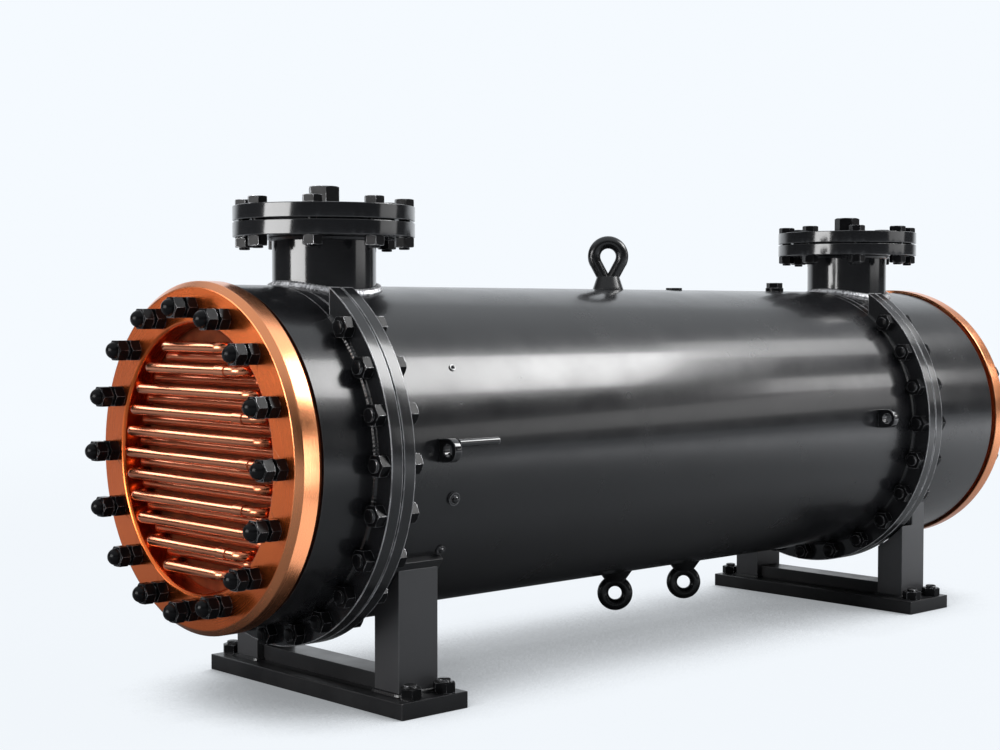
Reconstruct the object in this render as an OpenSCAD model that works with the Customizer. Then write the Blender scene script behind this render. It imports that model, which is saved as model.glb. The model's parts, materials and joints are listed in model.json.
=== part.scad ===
// Shell and tube heat exchanger on two saddles, with copper end rings and bent copper tubes.
// Axis along X, floor at Z = 0, origin on the floor under the middle of the length. Millimetres.

/* [Shell] */
// Outside diameter of the shell and of both channels
shell_d = 406; // [360:1:440]
// Clear height between the floor and the shell
under_h = 95; // [85:1:140]
// Distance between the front faces of the two copper end rings
end_to_end = 1422; // [1400:1:1500]
// Length of the front channel, from the tube sheet to its flange
front_channel_l = 72; // [66:1:80]
// Length of the rear channel, from the tube sheet to its flange
rear_channel_l = 188; // [170:1:200]

/* [Copper ends] */
// Thickness of a copper end ring
ring_t = 29; // [27:1:36]
// How far an end ring stands out beyond the shell's surface
ring_proud = 4; // [1:1:8]
// Distance from the shell's surface in to the circle of end studs
stud_inset = 27; // [23:1:28]
// Distance from the circle of end studs in to the opening
opening_inset = 19; // [18:1:24]
// Width of the bevel around the opening
opening_bevel = 3; // [1:1:4]
// Width of the bevel around the outside of a ring
ring_bevel = 7; // [2:1:8]
// Thickness of the copper tube sheet behind a ring
sheet_t = 8; // [6:1:12]
// How far the edge of the tube sheet lies in from the shell's surface
sheet_inset = 3; // [0:1:5]
// Number of end studs
stud_count = 16; // [12:2:18]

/* [Tube bank] */
// Outside diameter of a copper tube
tube_d = 12.7; // [10:0.1:14]
// Height between two tubes of a row
tube_pitch = 26; // [22:0.5:32]
// How far the outer tubes stand out beyond a ring's face
tube_proud = 7; // [0:1:9]
// Bend radius at the ends of an outer tube
outer_bend_r = 14; // [10:1:18]

/* [Girth flanges] */
// Width of a girth flange outside its bolt circle
flange_edge = 14.5; // [13:0.5:20]
// Thickness of a girth flange
flange_t = 16; // [14:1:18]
// Thickness of a girth gasket
gasket_t = 2; // [1:0.5:3]
// Number of places on the girth bolt circle
girth_places = 24; // [20:2:24]

/* [Nozzles] */
// Outside radius of a nozzle neck
neck_r = 64; // [55:1:68]
// Height of a nozzle flange's underside above the shell
neck_stand = 59; // [50:1:99]
// Radius of a nozzle flange and its cover
nozzle_disc_r = 112; // [104:1:120]
// Thickness of a nozzle flange and of its cover
nozzle_disc_t = 18; // [14:1:22]
// Distance from a nozzle flange's edge in to its bolt circle
nozzle_edge = 13; // [13:0.5:16]
// Number of bolts in a nozzle flange
nozzle_bolt_count = 8; // [4:4:8]

/* [Saddles] */
// Size of a base plate along the shell
base_l = 101; // [98:1:115]
// Size of a base plate outside each leg
base_over = 31; // [30:1:45]
// Thickness of a base plate
base_t = 20; // [14:1:24]
// Size of a leg along the shell
leg_l = 60; // [56:1:64]
// Size of a leg across the shell
leg_w = 45; // [36:1:60]
// Outer face of a leg, measured from the middle
leg_outer_y = 166; // [155:1:170]
// Height of the low beam, as a share of the free height under the cradle
beam_share = 0.28; // [0.2:0.01:0.5]
// Thickness of the rolled cradle plate
cradle_t = 8; // [6:1:10]

/* [Fittings] */
// Place of the lifting eye along the axis
eye_x = -14; // [-60:1:60]
// Middle radius of the lifting eye's loop
eye_loop_r = 20; // [19:1:24]
// Thickness of the lifting eye's bar
eye_bar_d = 18; // [14:0.5:19]
// Angle between the eye's plane and the shell axis
eye_turn = -45; // [-90:5:90]
// Place of the first lower lug along the axis
lug_front_x = 2; // [-80:1:40]
// Distance between the two lower lugs
lug_spacing = 150; // [100:1:200]
// Middle radius of a lower lug's ring
lug_ring_r = 17.5; // [17:0.5:20]
// Thickness of a lower lug's bar
lug_bar_d = 16; // [12:1:17]

/* [Hidden] */
$fn = 96;
large_fn = 288;
over = 1;

shell_r = shell_d / 2;
axis_h = under_h + shell_r;
ring_r = shell_r + ring_proud;
front_face_x = -end_to_end / 2;
sheet_face_x = front_face_x + ring_t;
channel_end_x = sheet_face_x + sheet_t;
stud_circle_r = shell_r - stud_inset;
opening_r = stud_circle_r - opening_inset;

// Threaded parts: M16 on the rings, girth flanges and saddles, M14 on the nozzles
bolt_r = 8;
bolt_hole_r = 9;
tapped_r = 8.4;
nut_flats = 24;
nut_h = 13;
bolt_stick = 4;
hex_sides = 6;
stud_rod_gap = 4;
stud_dome_r = 10.5;
stud_depth = 24;
small_bolt_r = 7;
small_hole_r = 8;
small_flats = 22;
small_nut_h = 12;
small_head_h = 9;
small_stick = 3;

tube_r = tube_d / 2;
tube_gap = 3.5;
tube_clear_r = opening_r - tube_gap;
row_reach = 0.9;
rows_up = floor((row_reach * tube_clear_r - tube_r) / tube_pitch);
outer_row_x = front_face_x + tube_r - tube_proud;
inner_bend_r = tube_r + 1.15;
inner_stub = 0.5;
inner_row_x = sheet_face_x - inner_bend_r - inner_stub;
sleeve_r = tube_r + 1.1;
sleeve_l = 18;
sleeve_inset = 13;

nut_gap = 0.6;
girth_circle_r = shell_r + hex_r(nut_flats) + nut_gap;
flange_r = girth_circle_r + flange_edge;
gasket_inset = 6;
gasket_r = flange_r - gasket_inset;
notch_over = 6;
notch_half_w = nozzle_disc_r + notch_over;
notch_angle = asin((notch_half_w + hex_r(nut_flats)) / girth_circle_r);
girth_angles = [for (i = [0 : girth_places - 1]) let (a = turn_of(i)) if (abs(a) > notch_angle) a];
front_channel_x = channel_end_x + front_channel_l;
front_joint_x = front_channel_x + flange_t + gasket_t / 2;
front_shell_x = front_joint_x + gasket_t / 2 + flange_t;
rear_channel_x = -channel_end_x - rear_channel_l;
rear_joint_x = rear_channel_x - flange_t - gasket_t / 2;
rear_shell_x = rear_joint_x - gasket_t / 2 - flange_t;

rear_neck_gap = 8;
front_nozzle_x = front_joint_x + gasket_t / 2 + neck_r;
rear_nozzle_x = rear_channel_x + rear_neck_gap + neck_r;
neck_top_h = axis_h + shell_r + neck_stand;
nozzle_circle_r = nozzle_disc_r - nozzle_edge;
nozzle_gasket_t = 2;
gasket_margin = 4;
nozzle_gasket_r = nozzle_circle_r - small_hole_r - gasket_margin;
cover_h = neck_top_h + nozzle_disc_t + nozzle_gasket_t;
cover_top_h = cover_h + nozzle_disc_t;
plug_flats = 35;
plug_h = 21;
plug_collar_r = 21;
plug_collar_h = 4;

flange_nut_reach = flange_t + gasket_t / 2 + nut_h + bolt_stick;
leg_top_clear = 2;
front_leg_gap = 12;
rear_leg_gap = 6;
seat_gap = 3;
front_saddle_x = front_joint_x + flange_nut_reach + front_leg_gap + leg_l / 2;
rear_saddle_x = rear_joint_x + flange_nut_reach + rear_leg_gap;
rear_seat_x = rear_joint_x + flange_nut_reach + seat_gap;
leg_inner_y = leg_outer_y - leg_w;
base_w = 2 * (leg_outer_y + base_over);
beam_l = 40;
beam_h = beam_share * (under_h - cradle_t - base_t);
cradle_over = 4;
cradle_half_angle = asin(leg_outer_y / shell_r);
anchor_gap = 2.2;
anchor_y = leg_outer_y + hex_r(nut_flats) + anchor_gap;
anchor_spread = 26;

sink = 6;
eye_foot_r = 22;
eye_foot_top_r = 16;
eye_foot_h = 18;
eye_stand = 47;
eye_lean = 28;
leg_lap = 2;
leg_thinner = 0.5;
lug_foot_r = 25;
lug_foot_top_r = 14;
lug_stand = 33;
lug_turn = 45;

hook_front_in = 81;
hook_rear_in = 105;
hook_front_x = front_joint_x + hook_front_in;
hook_rear_x = rear_joint_x - hook_rear_in;
hook_angle = 87;
hook_t = 10;
hook_reach = 30;
hook_end_r = 14;
hook_hole_r = 7;
bar_in = 126;
bar_x = front_joint_x + bar_in;
bar_angle = 85;
bar_r = 4.5;
bar_l = 62;
bar_stand = 14;
bar_post_r = 4;
bar_post_inset = 5;

// Round bosses: distance in from the front joint, angle from the top, radius and height
boss_dome = 0.6;
mid_boss_in = 103;
mid_boss_angle = 103.5;
mid_boss_r = 8;
mid_boss_h = 6;
high_boss_in = 122;
high_boss_angle = 59;
high_boss_r = 4;
high_boss_h = 3;
low_boss_in = 106;
low_boss_r = 6;
low_boss_h = 4;
low_boss_gap = 2;
low_boss_angle = 180 - cradle_half_angle - arc_angle(low_boss_r + low_boss_gap);

vent_cap_x = 128;
vent_cap_r = 12;
vent_cap_h = 3;
vent_plug_in = 102;
vent_plug_x = rear_joint_x - vent_plug_in;
vent_plug_r = 14;
vent_plug_h = 5;
vent_hex_flats = 22;
vent_hex_h = 8;

// Angle of place i on a circle of girth bolts, from -180 to 180 with 0 at the top
function turn_of(i) = i * 360 / girth_places - (i > girth_places / 2 ? 360 : 0);

// Half the length of a tube at height z from the axis, in whole millimetres, inside the opening
function tube_half(z) = floor(sqrt(pow(tube_clear_r, 2) - pow(abs(z) + tube_r, 2)) - tube_r);

// Angle that an arc of length l on the shell spans
function arc_angle(l) = l * 180 / (PI * shell_r);

// Corner radius of a hexagon from its size across flats
function hex_r(flats) = flats / 2 / cos(180 / hex_sides);

// Lays a shape that is drawn upwards along the shell axis, starting at x
module along_x(x) {
    translate([x, 0, axis_h])
        rotate([0, 90, 0])
            children();
}

// Lays a shape on a circle around the axis, a degrees from the top towards the near side
module on_circle(x, r, a) {
    translate([x, -r * sin(a), axis_h + r * cos(a)])
        rotate([0, 90, 0])
            children();
}

// A round bar along the axis between two places
module round_x(x0, x1, r) {
    along_x(x0)
        cylinder(h = x1 - x0, r = r, $fn = large_fn);
}

// A hexagon nut or head along Z
module hex(flats, h) {
    cylinder(h = h, r = hex_r(flats), $fn = hex_sides);
}

// Turns the front end into the rear end
module at_rear() {
    mirror([1, 0, 0])
        children();
}

// Stands a shape on the shell, its Z pointing away from the axis
module on_shell(x, a) {
    difference() {
        translate([x, 0, axis_h])
            rotate([a, 0, 0])
                translate([0, 0, shell_r])
                    children();
        round_x(x - shell_r, x + shell_r, shell_r);
    }
}

// Copper end ring with a bevelled opening and one hole for each stud
module end_ring() {
    color("peru")
        difference() {
            along_x(front_face_x)
                rotate_extrude()
                    polygon([
                        [opening_r, ring_t], [ring_r, ring_t],
                        [ring_r, ring_bevel], [ring_r - ring_bevel, 0],
                        [opening_r + opening_bevel, 0], [opening_r, opening_bevel]
                    ]);
            for (i = [0 : stud_count - 1])
                on_circle(front_face_x - over, stud_circle_r, i * 360 / stud_count)
                    cylinder(h = ring_t + 2 * over, r = bolt_hole_r);
        }
}

module tube_sheet() {
    color("sienna")
        difference() {
            round_x(sheet_face_x, channel_end_x, shell_r - sheet_inset);
            for (i = [0 : stud_count - 1])
                on_circle(sheet_face_x - over, stud_circle_r, i * 360 / stud_count)
                    cylinder(h = sheet_t + 2 * over, r = bolt_hole_r);
        }
}

// One stud: rod, nut against the ring and a domed cap nut at the tip
module end_stud() {
    rod_l = nut_h + stud_rod_gap;
    translate([0, 0, -rod_l])
        cylinder(h = rod_l + ring_t + sheet_t + stud_depth, r = bolt_r);
    translate([0, 0, -nut_h])
        hex(nut_flats, nut_h);
    translate([0, 0, -rod_l - nut_h])
        hex(nut_flats, nut_h);
    translate([0, 0, -rod_l - nut_h])
        sphere(r = stud_dome_r);
}

module end_studs() {
    color("black")
        for (i = [0 : stud_count - 1])
            on_circle(front_face_x, stud_circle_r, i * 360 / stud_count)
                end_stud();
}

// The end of a tube: a quarter bend and the leg that runs into the tube sheet
module tube_end(row_x, half, bend_r) {
    translate([row_x + bend_r, half - bend_r, 0])
        rotate([0, 0, 90])
            rotate_extrude(angle = 90)
                translate([bend_r, 0])
                    circle(r = tube_r);
    translate([row_x + bend_r, half, 0])
        rotate([0, 90, 0])
            cylinder(h = sheet_face_x - row_x - bend_r, r = tube_r);
}

// A tube across the opening, bent back into the tube sheet at both ends
module bent_tube(z, row_x, bend_r, sleeved = false) {
    half = tube_half(z);
    translate([0, 0, axis_h + z]) {
        translate([row_x, bend_r - half, 0])
            rotate([-90, 0, 0])
                straight_tube(2 * (half - bend_r), sleeved);
        tube_end(row_x, half, bend_r);
        mirror([0, 1, 0])
            tube_end(row_x, half, bend_r);
    }
}

// The straight stretch of a tube, with a short brazed sleeve near the near end if it has one
module straight_tube(l, sleeved) {
    z0 = sleeve_inset;
    z1 = sleeve_inset + sleeve_l;
    sleeve = [[tube_r, z0], [sleeve_r, z0], [sleeve_r, z1], [tube_r, z1]];
    rotate_extrude()
        polygon(concat([[0, 0], [tube_r, 0]], sleeved ? sleeve : [], [[tube_r, l], [0, l]]));
}

module outer_tubes() {
    color("chocolate")
        for (i = [-rows_up : rows_up])
            bent_tube(i * tube_pitch, outer_row_x, outer_bend_r, abs(i) % 2 == 0);
}

module inner_tubes() {
    color("sienna")
        for (i = [1 - rows_up : rows_up])
            bent_tube((i - 0.5) * tube_pitch, inner_row_x, inner_bend_r);
}

// Blind tapped holes for the studs, cut into the channel's end face
module stud_sockets() {
    for (i = [0 : stud_count - 1])
        on_circle(channel_end_x - over, stud_circle_r, i * 360 / stud_count)
            cylinder(h = stud_depth + over, r = tapped_r);
}

module front_channel() {
    color("dimgray")
        difference() {
            round_x(channel_end_x, front_channel_x, shell_r);
            stud_sockets();
        }
}

module rear_channel() {
    color("dimgray")
        difference() {
            round_x(rear_channel_x, -channel_end_x, shell_r);
            at_rear()
                stud_sockets();
        }
}

module shell() {
    color("dimgray")
        round_x(front_shell_x, rear_shell_x, shell_r);
}

// A disc of the girth joint: notched at the top for the nozzle and drilled for the bolts
module girth_disc(x, t, r) {
    difference() {
        round_x(x, x + t, r);
        difference() {
            translate([x - over, -notch_half_w, axis_h])
                cube([t + 2 * over, 2 * notch_half_w, r + over]);
            round_x(x - 2 * over, x + t + 2 * over, shell_r);
        }
        for (a = girth_angles)
            on_circle(x - over, girth_circle_r, a)
                cylinder(h = t + 2 * over, r = bolt_hole_r);
    }
}

module girth_flange(x) {
    color("dimgray")
        girth_disc(x, flange_t, flange_r);
}

module girth_gaskets() {
    color("gray")
        for (joint_x = [front_joint_x, rear_joint_x])
            girth_disc(joint_x - gasket_t / 2, gasket_t, gasket_r);
}

// Through bolts with a nut on each side of the joint
module girth_bolts(joint_x) {
    grip = 2 * flange_t + gasket_t;
    color("black")
        for (a = girth_angles)
            on_circle(joint_x - grip / 2, girth_circle_r, a) {
                translate([0, 0, -nut_h - bolt_stick])
                    cylinder(h = grip + 2 * (nut_h + bolt_stick), r = bolt_r);
                translate([0, 0, -nut_h])
                    hex(nut_flats, nut_h);
                translate([0, 0, grip])
                    hex(nut_flats, nut_h);
            }
}

module nozzle_neck(x) {
    color("dimgray")
        difference() {
            translate([x, 0, axis_h])
                cylinder(h = neck_top_h - axis_h, r = neck_r);
            round_x(x - 2 * neck_r, x + 2 * neck_r, shell_r);
        }
}

module nozzle_bolt_places(x) {
    for (i = [0 : nozzle_bolt_count - 1])
        translate([x, 0, 0])
            rotate([0, 0, i * 360 / nozzle_bolt_count])
                translate([nozzle_circle_r, 0, 0])
                    children();
}

// A nozzle flange or its cover: a round plate with one hole for each bolt
module nozzle_disc(x, h) {
    color("dimgray")
        difference() {
            translate([x, 0, h])
                cylinder(h = nozzle_disc_t, r = nozzle_disc_r, $fn = large_fn);
            nozzle_bolt_places(x)
                translate([0, 0, h - over])
                    cylinder(h = nozzle_disc_t + 2 * over, r = small_hole_r);
        }
}

module nozzle_gaskets() {
    color("gray")
        for (x = [front_nozzle_x, rear_nozzle_x])
            translate([x, 0, neck_top_h + nozzle_disc_t])
                cylinder(h = nozzle_gasket_t, r = nozzle_gasket_r);
}

module nozzle_bolts(x) {
    grip = cover_top_h - neck_top_h;
    color("black")
        nozzle_bolt_places(x)
            translate([0, 0, neck_top_h]) {
                translate([0, 0, -small_nut_h - small_stick])
                    cylinder(h = grip + small_nut_h + small_stick, r = small_bolt_r);
                translate([0, 0, -small_nut_h])
                    hex(small_flats, small_nut_h);
                translate([0, 0, grip])
                    hex(small_flats, small_head_h);
            }
}

module nozzle_plugs() {
    color("black")
        for (x = [front_nozzle_x, rear_nozzle_x])
            translate([x, 0, cover_top_h]) {
                cylinder(h = plug_collar_h, r = plug_collar_r);
                translate([0, 0, plug_collar_h])
                    hex(plug_flats, plug_h);
            }
}

module saddle_base(x) {
    color("dimgray")
        difference() {
            translate([x - base_l / 2, -base_w / 2, 0])
                cube([base_l, base_w, base_t]);
            anchor_places(x)
                translate([0, 0, -over])
                    cylinder(h = base_t + 2 * over, r = bolt_hole_r);
        }
}

module anchor_places(x) {
    for (sx = [-1, 1])
        for (sy = [-1, 1])
            translate([x + sx * anchor_spread, sy * anchor_y, 0])
                children();
}

module anchor_bolts() {
    color("black")
        for (x = [front_saddle_x, rear_saddle_x])
            anchor_places(x) {
                cylinder(h = base_t + nut_h + bolt_stick, r = bolt_r);
                translate([0, 0, base_t])
                    hex(nut_flats, nut_h);
            }
}

// The two upright legs of a saddle, before they are cut to the shell
module leg_pair(x) {
    middle_y = leg_outer_y - leg_w / 2;
    for (side = [-1, 1])
        translate([x - leg_l / 2, side * middle_y - leg_w / 2, base_t])
            cube([leg_l, leg_w, axis_h - base_t]);
}

module front_saddle_legs() {
    color("dimgray")
        difference() {
            leg_pair(front_saddle_x);
            round_x(front_saddle_x - base_l, front_saddle_x + base_l, shell_r + cradle_t);
        }
}

// The rear legs are also stepped down to clear the girth flange and its nuts
module rear_saddle_legs() {
    color("dimgray")
        difference() {
            leg_pair(rear_saddle_x);
            round_x(rear_saddle_x - base_l, rear_saddle_x + base_l, shell_r + cradle_t);
            round_x(rear_saddle_x - base_l, rear_seat_x, flange_r + leg_top_clear);
        }
}

module saddle_beams() {
    color("dimgray")
        for (x = [front_saddle_x, rear_saddle_x])
            translate([x - beam_l / 2, -leg_inner_y, base_t])
                cube([beam_l, 2 * leg_inner_y, beam_h]);
}

// A rolled plate under the shell, from x0 to x1
module saddle_cradle(x0, x1) {
    color("dimgray")
        along_x(x0)
            rotate([0, 0, -cradle_half_angle])
                rotate_extrude(angle = 2 * cradle_half_angle)
                    translate([shell_r, 0])
                        square([cradle_t, x1 - x0]);
}

module front_saddle_cradle() {
    half_l = leg_l / 2 + cradle_over;
    saddle_cradle(front_saddle_x - half_l, front_saddle_x + half_l);
}

module rear_saddle_cradle() {
    saddle_cradle(rear_seat_x, rear_saddle_x + leg_l / 2 + cradle_over);
}

// A flared foot whose lower end runs a little into the shell
module foot(low_r, high_r, h) {
    translate([0, 0, -sink])
        cylinder(h = sink, r = low_r);
    cylinder(h = h, r1 = low_r, r2 = high_r);
}

// A loop of round bar, open below, whose two legs lean in and meet under it
module pear_loop(loop_r, bar_d, lean) {
    edge_x = 2 * loop_r * cos(lean);
    edge_z = 2 * loop_r * sin(lean);
    low_z = 3 * loop_r;
    below = [[0, 0], [edge_x, -edge_z], [edge_x, -low_z], [-edge_x, -low_z], [-edge_x, -edge_z]];
    rotate([90, 0, 0])
        difference() {
            rotate_extrude()
                translate([loop_r, 0])
                    circle(d = bar_d);
            translate([0, 0, -bar_d])
                linear_extrude(2 * bar_d)
                    polygon(below);
        }
    for (side = [-1, 1])
        translate([side * loop_r * cos(lean), 0, -loop_r * sin(lean)])
            rotate([0, 180 + side * lean, 0])
                translate([0, 0, -leg_lap])
                    cylinder(h = leg_lap + loop_r / tan(lean), d = bar_d - leg_thinner);
}

module lifting_eye() {
    color("black")
        on_shell(eye_x, 0)
            rotate([0, 0, eye_turn]) {
                foot(eye_foot_r, eye_foot_top_r, eye_foot_h);
                translate([0, 0, eye_stand])
                    pear_loop(eye_loop_r, eye_bar_d, eye_lean);
            }
}

module lower_lugs() {
    color("black")
        for (x = [lug_front_x, lug_front_x + lug_spacing])
            on_shell(x, 180)
                rotate([0, 0, lug_turn]) {
                    foot(lug_foot_r, lug_foot_top_r, lug_stand - lug_ring_r);
                    translate([0, 0, lug_stand])
                        rotate([90, 0, 0])
                            rotate_extrude()
                                translate([lug_ring_r, 0])
                                    circle(d = lug_bar_d);
                }
}

// A flat lug with a round end and one hole, standing out from the side of the shell
module side_hooks() {
    color("black")
        for (x = [hook_front_x, hook_rear_x])
            on_shell(x, hook_angle)
                translate([-hook_t / 2, 0, 0])
                    rotate([90, 0, 90])
                        linear_extrude(hook_t)
                            hook_outline();
}

module hook_outline() {
    end_z = hook_reach - hook_end_r;
    difference() {
        union() {
            translate([-hook_end_r, -sink])
                square([2 * hook_end_r, end_z + sink]);
            translate([0, end_z])
                circle(r = hook_end_r);
        }
        translate([0, end_z])
            circle(r = hook_hole_r);
    }
}

// A short rail held off the shell by two posts
module side_bar() {
    color("black")
        on_shell(bar_x, bar_angle) {
            translate([-bar_l / 2, 0, bar_stand])
                rotate([0, 90, 0])
                    cylinder(h = bar_l, r = bar_r);
            for (side = [-1, 1])
                translate([side * (bar_l / 2 - bar_post_inset), 0, -sink])
                    cylinder(h = sink + bar_stand, r = bar_post_r);
        }
}

// A low round pad on the shell
module pad(r, h) {
    translate([0, 0, -sink])
        cylinder(h = sink + h, r = r);
}

// A round boss with a domed middle, at angle a from the top
module boss(x, a, r, h) {
    on_shell(x, a) {
        pad(r, h / 2);
        translate([0, 0, h / 2])
            sphere(r = boss_dome * r);
    }
}

module side_bosses() {
    color("black") {
        boss(front_joint_x + mid_boss_in, mid_boss_angle, mid_boss_r, mid_boss_h);
        boss(front_joint_x + high_boss_in, high_boss_angle, high_boss_r, high_boss_h);
        boss(front_joint_x + low_boss_in, low_boss_angle, low_boss_r, low_boss_h);
    }
}

// A low cap and a plug with a hexagon on top of the shell
module top_vents() {
    color("black") {
        on_shell(vent_cap_x, 0)
            pad(vent_cap_r, vent_cap_h);
        on_shell(vent_plug_x, 0) {
            pad(vent_plug_r, vent_plug_h);
            translate([0, 0, vent_plug_h])
                hex(vent_hex_flats, vent_hex_h);
        }
    }
}

end_ring();  // front_end_ring
tube_sheet();  // front_tube_sheet
outer_tubes();  // front_outer_tubes
inner_tubes();  // front_inner_tubes
end_studs();  // front_end_studs
at_rear() end_ring();  // rear_end_ring
at_rear() tube_sheet();  // rear_tube_sheet
at_rear() outer_tubes();  // rear_outer_tubes
at_rear() inner_tubes();  // rear_inner_tubes
at_rear() end_studs();  // rear_end_studs
front_channel();
girth_flange(front_channel_x);  // front_channel_flange
girth_flange(front_shell_x - flange_t);  // shell_front_flange
girth_bolts(front_joint_x);  // front_girth_bolts
shell();
girth_flange(rear_shell_x);  // shell_rear_flange
girth_flange(rear_channel_x - flange_t);  // rear_channel_flange
girth_bolts(rear_joint_x);  // rear_girth_bolts
rear_channel();
girth_gaskets();
nozzle_neck(front_nozzle_x);  // front_nozzle_neck
nozzle_disc(front_nozzle_x, neck_top_h);  // front_nozzle_flange
nozzle_disc(front_nozzle_x, cover_h);  // front_nozzle_cover
nozzle_bolts(front_nozzle_x);  // front_nozzle_bolts
nozzle_neck(rear_nozzle_x);  // rear_nozzle_neck
nozzle_disc(rear_nozzle_x, neck_top_h);  // rear_nozzle_flange
nozzle_disc(rear_nozzle_x, cover_h);  // rear_nozzle_cover
nozzle_bolts(rear_nozzle_x);  // rear_nozzle_bolts
nozzle_gaskets();
nozzle_plugs();
saddle_base(front_saddle_x);  // front_saddle_base
front_saddle_legs();
front_saddle_cradle();
saddle_base(rear_saddle_x);  // rear_saddle_base
rear_saddle_legs();
rear_saddle_cradle();
saddle_beams();
anchor_bolts();
lifting_eye();
lower_lugs();
side_hooks();
side_bar();
side_bosses();
top_vents();
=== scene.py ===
"""Shell and tube heat exchanger: finishes, fasteners, welds, studio and camera.

Everything is in metres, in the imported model's frame: X along the shell axis, Z up, floor at Z = 0.
"""
import json
import math

import bmesh
import bpy
from mathutils import Matrix, Vector

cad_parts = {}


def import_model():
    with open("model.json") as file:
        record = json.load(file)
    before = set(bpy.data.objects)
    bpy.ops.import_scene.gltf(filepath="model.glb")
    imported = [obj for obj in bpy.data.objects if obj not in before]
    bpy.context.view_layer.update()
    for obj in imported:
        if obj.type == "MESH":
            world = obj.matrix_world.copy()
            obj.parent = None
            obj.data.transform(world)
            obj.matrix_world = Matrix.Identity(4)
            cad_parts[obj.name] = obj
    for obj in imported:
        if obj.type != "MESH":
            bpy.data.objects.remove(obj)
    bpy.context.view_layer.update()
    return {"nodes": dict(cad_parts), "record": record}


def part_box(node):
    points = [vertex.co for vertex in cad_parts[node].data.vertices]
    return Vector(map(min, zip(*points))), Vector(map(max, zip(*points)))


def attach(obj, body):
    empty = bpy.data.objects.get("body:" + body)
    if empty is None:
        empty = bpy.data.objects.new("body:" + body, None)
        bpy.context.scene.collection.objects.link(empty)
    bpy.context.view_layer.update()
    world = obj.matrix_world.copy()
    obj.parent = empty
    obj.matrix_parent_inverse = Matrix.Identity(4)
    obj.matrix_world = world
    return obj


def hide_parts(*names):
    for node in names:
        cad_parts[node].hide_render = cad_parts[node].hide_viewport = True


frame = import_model()
NODES = frame["nodes"]

ENDS = ("front", "rear")
UP = (0, 0, 1)
DOWN = (0, 0, -1)
FORWARD = (-1, 0, 0)
BACKWARD = (1, 0, 0)

# Sizes read from the frame
SHELL_LO, SHELL_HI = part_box("shell")
SHELL_R = (SHELL_HI[1] - SHELL_LO[1]) / 2
AXIS_H = (SHELL_HI[2] + SHELL_LO[2]) / 2
RING_LO, RING_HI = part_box("front_end_ring")
REAR_RING_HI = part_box("rear_end_ring")[1]
RIM_R = (RING_HI[1] - RING_LO[1]) / 2

# Where the finish changes: the ring's polished rim, and the bends at the tubes' ends
RIM_FROM = RIM_R - 0.0085
RIM_TO = RIM_R - 0.0065
BEND_FROM = 0.085
BEND_TO = 0.15

# Fasteners, as they are in the solids
NUT_FLATS = 0.024
NUT_H = 0.013
NUT_GAP = 0.0006
ROD_R = 0.008
SMALL_FLATS = 0.022
SMALL_NUT_H = 0.012
SMALL_ROD_R = 0.007
STUD_CIRCLE_R = 0.176
STUD_COUNT = 16
STUD_GAP = 0.004
GIRTH_PLACES = 24
GIRTH_FIRST = 3
NOZZLE_BOLTS = 8
NOZZLE_EDGE = 0.013
ANCHOR_SPREAD = 0.026
PLUG_FLATS = 0.035
PLUG_COLLAR_R = 0.021
PLUG_COLLAR_H = 0.004

# Finer forms of the fasteners. Seat and crown are shares of the nut's width over flats. Tip, root
# and dome top are shares of their radius.
NUT_SIDES = 36
NUT_CHAMFER = math.radians(30)
NUT_SEAT = 0.46
NUT_CROWN = 0.48
CAP_DOME_R = 0.0104
CAP_DOME_STEPS = 8
CAP_DOME_TOP = 0.06
PLUG_SIDES = 60
PLUG_EDGE = 0.001
ROD_SIDES = 20
ROD_TIP_H = 0.0008
ROD_TIP = 0.8
ROD_IN_HEAD = 0.002
THREAD_PITCH = 0.002
THREAD_START = 0.25
THREAD_ROOT = 0.9
THREAD_SHOWN = 0.004
SMALL_THREAD_SHOWN = 0.0035
STUD_THREAD_SHOWN = 0.008

# Weld beads: radius, how far their path lies off the surface, and the number of points along it
BEAD_SIDES = 8
BEAD_SWELL = 0.18
BEAD_WAVE = 0.0045
THIN_BEAD_R = 0.0032
THIN_BEAD_OUT = 0.0005
GIRTH_BEAD_STEPS = 720
NOTCH_OVER = 0.006
NECK_BEAD_R = 0.0052
NECK_BEAD_OUT = 0.0015
NECK_BEAD_STEPS = 360
NECK_TOP_DROP = 0.001
NECK_TOP_STEPS = 300
FOOT_BEAD_R = 0.0034
FOOT_BEAD_STEP = 0.0015

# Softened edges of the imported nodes
JOIN_WITHIN = 0.00002
SOFT_EDGE = 0.0012
SOFT_EDGE_FROM = math.radians(40)
SHARP_FROM = math.radians(32)

# Material graphs
NOISE_ROUGHNESS = 0.55
EDGE_SAMPLES = 4
EDGE_FROM = 0.02
EDGE_TO = 0.25

# Camera, found by fitting the photograph
CAMERA_PLACE = (-1.8037, -1.7074, 0.4702)
CAMERA_YAW = 47.24
CAMERA_PITCH = -2.14
FRAME_W = 1000
FOCAL_PX = 1720.2
SENSOR_MM = 36

# Colours, linear
PAINT = (0.0060, 0.0062, 0.0070)
PAINT_PALE = (0.0125, 0.0128, 0.0142)
# PAINT_EDGE: the enamel's lightened edges, partly worn paint and partly painted highlight
PAINT_EDGE = (0.15, 0.15, 0.155)
# Pale edge colour of the side fittings' enamel: a painted highlight
SIDE_EDGE_HIGHLIGHT = (0.34, 0.34, 0.35)
# BRIGHT_EDGE: bare worn steel on the fasteners' rubbed edges, and a painted highlight on the
# flanges' enamel edges
BRIGHT_EDGE = (0.72, 0.72, 0.74)
SATIN = (0.008, 0.008, 0.009)
SATIN_PALE = (0.017, 0.017, 0.0185)
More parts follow.
